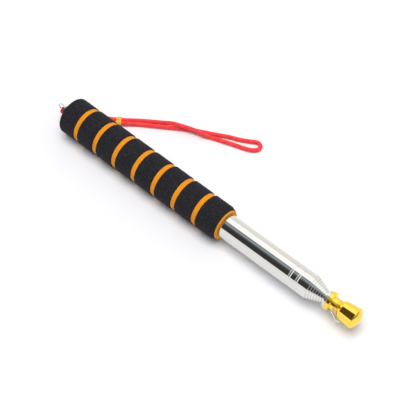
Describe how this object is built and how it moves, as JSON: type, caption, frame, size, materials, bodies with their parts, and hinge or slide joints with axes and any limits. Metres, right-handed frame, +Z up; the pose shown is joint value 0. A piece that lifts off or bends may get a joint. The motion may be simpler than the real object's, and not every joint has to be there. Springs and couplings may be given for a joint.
{
  "type": "telescopic hand pole",
  "caption": "Telescopic steel hand pole, closed, with a banded foam grip, a red wrist strap on a rear ring, and a gold tip knob that carries a small wire bail.",
  "frame": {"origin": "on the surface that the pole lies on, under the middle of the pole with its rear ring", "axes": "+X along the pole towards its tip, +Z up, +Y towards the side where the strap lies"},
  "size_m": [0.3109, 0.1062, 0.0322],
  "materials": {
    "black_foam": "matte closed-cell foam",
    "orange_foam": "matte closed-cell foam",
    "steel": "polished stainless steel",
    "black_plastic": "moulded",
    "bush_brass": "machined",
    "gold": "polished gold plating",
    "wire": "bright drawn wire",
    "red_cord": "braided cord",
    "red_plastic": "moulded",
    "yellow_thread": "wound thread"
  },
  "bodies": {
    "handle": {"outer_tube": "steel", "end_plug": "black_plastic", "strap_end": "red_plastic", "strap_cord": "red_cord", "strap_band": "yellow_thread", "grip_core": "orange_foam", "grip_band_1": "black_foam", "grip_band_2": "black_foam", "grip_band_3": "black_foam", "grip_band_4": "black_foam", "grip_band_5": "black_foam", "grip_band_6": "black_foam", "grip_band_7": "black_foam", "grip_band_8": "black_foam"},
    "ring": {"strap_ring": "wire"},
    "section_2": {"tube_2": "steel", "bush_2": "bush_brass"},
    "section_3": {"tube_3": "steel", "bush_3": "bush_brass"},
    "section_4": {"tube_4": "steel", "bush_4": "bush_brass"},
    "section_5": {"tube_5": "steel", "bush_5": "bush_brass"},
    "section_6": {"tube_6": "steel", "bush_6": "bush_brass"},
    "section_7": {"tube_7": "steel", "bush_7": "bush_brass"},
    "section_8": {"bush_8": "bush_brass"},
    "tip": {"tube_8": "steel", "tip_stud": "steel", "tip_washer": "steel", "tip_knob": "gold"},
    "bail": {"tip_bail": "wire"}
  },
  "joints": [
    {"name": "ring_turn", "type": "hinge", "parent": "handle", "child": "ring", "pos_m": [-0.15065, 0, 0.0161], "axis": [0, 1, 0], "continuous": true},
    {"name": "section_2_slide", "type": "slide", "parent": "handle", "child": "section_2", "axis": [1, 0, 0], "range_m": [0, 0.2299]},
    {"name": "section_3_slide", "type": "slide", "parent": "section_2", "child": "section_3", "axis": [1, 0, 0], "range_m": [0, 0.2318]},
    {"name": "section_4_slide", "type": "slide", "parent": "section_3", "child": "section_4", "axis": [1, 0, 0], "range_m": [0, 0.2337]},
    {"name": "section_5_slide", "type": "slide", "parent": "section_4", "child": "section_5", "axis": [1, 0, 0], "range_m": [0, 0.2356]},
    {"name": "section_6_slide", "type": "slide", "parent": "section_5", "child": "section_6", "axis": [1, 0, 0], "range_m": [0, 0.2375]},
    {"name": "section_7_slide", "type": "slide", "parent": "section_6", "child": "section_7", "axis": [1, 0, 0], "range_m": [0, 0.2394]},
    {"name": "section_8_slide", "type": "slide", "parent": "section_7", "child": "section_8", "axis": [1, 0, 0], "range_m": [0, 0.2413]},
    {"name": "tip_swivel", "type": "hinge", "parent": "section_8", "child": "tip", "pos_m": [-0.12425, 0, 0.0161], "axis": [1, 0, 0], "continuous": true},
    {"name": "bail_swing", "type": "hinge", "parent": "tip", "child": "bail", "pos_m": [0.13455, 0, 0.0161], "axis": [0, -0.9848, 0.1736], "range_deg": [-60, 1]}
  ]
}
